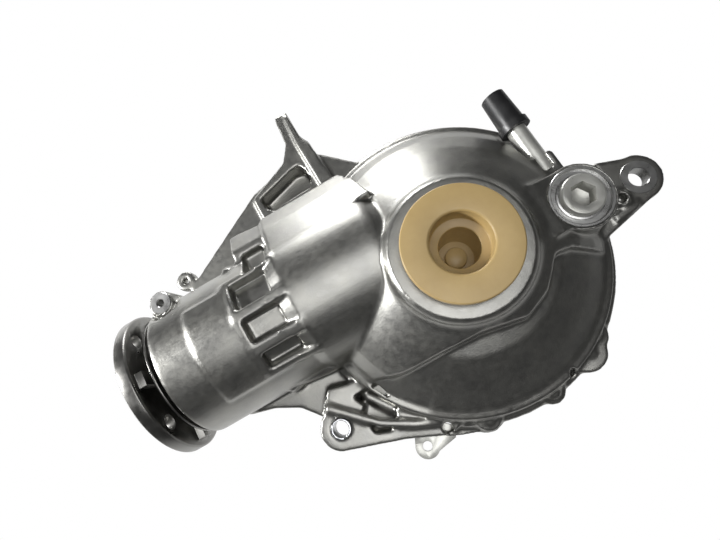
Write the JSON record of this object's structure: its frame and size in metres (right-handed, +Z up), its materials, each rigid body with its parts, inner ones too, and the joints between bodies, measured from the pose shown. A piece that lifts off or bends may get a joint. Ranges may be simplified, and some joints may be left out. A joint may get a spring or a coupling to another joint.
{
  "type": "front differential",
  "caption": "Hypoid front axle differential: cast bell housing with long nose, input flange, geared carrier, mounting ears, breather and a stepped transport plug in the output.",
  "frame": {"origin": "centre of the lower output pilot at the base face of the rear cover, on the output axis", "axes": "+Z up along the output axis, -X along the pinion nose towards the input flange, +Y towards the prong and the breather"},
  "size_m": [0.3745, 0.2864, 0.153],
  "materials": {
    "cast_aluminium": "as cast, fine grain",
    "zinc_steel": "bright zinc plated",
    "bearing_steel": "ground",
    "washer_aluminium": "stamped",
    "black_rubber": "matt",
    "cast_iron": "as cast and turned",
    "gear_steel": "ground teeth",
    "dark_steel": "dark, oiled",
    "ochre_plastic": "semi matt moulded"
  },
  "bodies": {
    "housing": {"main_housing": "cast_aluminium", "rear_cover": "cast_aluminium", "cover_bolts": "zinc_steel", "dowel_pins": "bearing_steel", "dowel_sleeve": "bearing_steel", "fill_plug": "zinc_steel", "fill_plug_washer": "washer_aluminium", "breather_tube": "zinc_steel", "breather_cap": "black_rubber", "bracket_tab": "zinc_steel", "bracket_screw": "zinc_steel", "output_seal_left": "black_rubber", "output_seal_right": "black_rubber", "input_seal": "black_rubber", "carrier_bearing_left_cup": "bearing_steel", "carrier_bearing_right_cup": "bearing_steel", "pinion_bearing_head_cup": "bearing_steel", "pinion_bearing_tail_cup": "bearing_steel"},
    "carrier": {"differential_case": "cast_iron", "ring_gear": "gear_steel", "ring_gear_bolts": "dark_steel", "cross_pin": "bearing_steel", "roll_pin": "bearing_steel", "carrier_bearing_left_cone": "bearing_steel", "carrier_bearing_right_cone": "bearing_steel", "carrier_bearing_left_rollers": "bearing_steel", "carrier_bearing_right_rollers": "bearing_steel", "side_washer_left": "bearing_steel", "side_washer_right": "bearing_steel", "spider_washer_a": "bearing_steel", "spider_washer_b": "bearing_steel"},
    "pinion": {"pinion_shaft": "gear_steel", "pinion_bearing_head_cone": "bearing_steel", "pinion_bearing_head_rollers": "bearing_steel", "pinion_bearing_tail_cone": "bearing_steel", "pinion_bearing_tail_rollers": "bearing_steel", "pinion_shim": "bearing_steel", "crush_sleeve": "bearing_steel", "input_flange": "dark_steel", "dust_shield": "dark_steel", "pinion_nut": "dark_steel"},
    "side_left": {"side_gear_left": "gear_steel"},
    "side_right": {"side_gear_right": "gear_steel"},
    "spider_a": {"spider_gear_a": "gear_steel"},
    "spider_b": {"spider_gear_b": "gear_steel"},
    "plug": {"transport_plug": "ochre_plastic"}
  },
  "joints": [
    {"name": "carrier_spin", "type": "hinge", "parent": "housing", "child": "carrier", "pos_m": [0, 0, 0.076], "axis": [0, 0, 1], "continuous": true},
    {"name": "pinion_spin", "type": "hinge", "parent": "housing", "child": "pinion", "pos_m": [0, 0.03, 0.0874], "axis": [1, 0, 0], "continuous": true},
    {"name": "side_left_spin", "type": "hinge", "parent": "carrier", "child": "side_left", "pos_m": [0, 0, 0.076], "axis": [0, 0, 1], "continuous": true},
    {"name": "side_right_spin", "type": "hinge", "parent": "carrier", "child": "side_right", "pos_m": [0, 0, 0.076], "axis": [0, 0, 1], "continuous": true},
    {"name": "spider_a_spin", "type": "hinge", "parent": "carrier", "child": "spider_a", "pos_m": [0, 0, 0.076], "axis": [1, 0, 0], "continuous": true},
    {"name": "spider_b_spin", "type": "hinge", "parent": "carrier", "child": "spider_b", "pos_m": [0, 0, 0.076], "axis": [1, 0, 0], "continuous": true},
    {"name": "plug_slide", "type": "slide", "parent": "housing", "child": "plug", "axis": [0, 0, 1], "range_m": [0, 0.06]}
  ],
  "couplings": [
    {"joint": "pinion_spin", "follows": "carrier_spin", "ratio": -3.3636},
    {"joint": "side_right_spin", "follows": "side_left_spin", "ratio": -1},
    {"joint": "spider_a_spin", "follows": "side_left_spin", "ratio": -1.4},
    {"joint": "spider_b_spin", "follows": "side_left_spin", "ratio": 1.4}
  ]
}
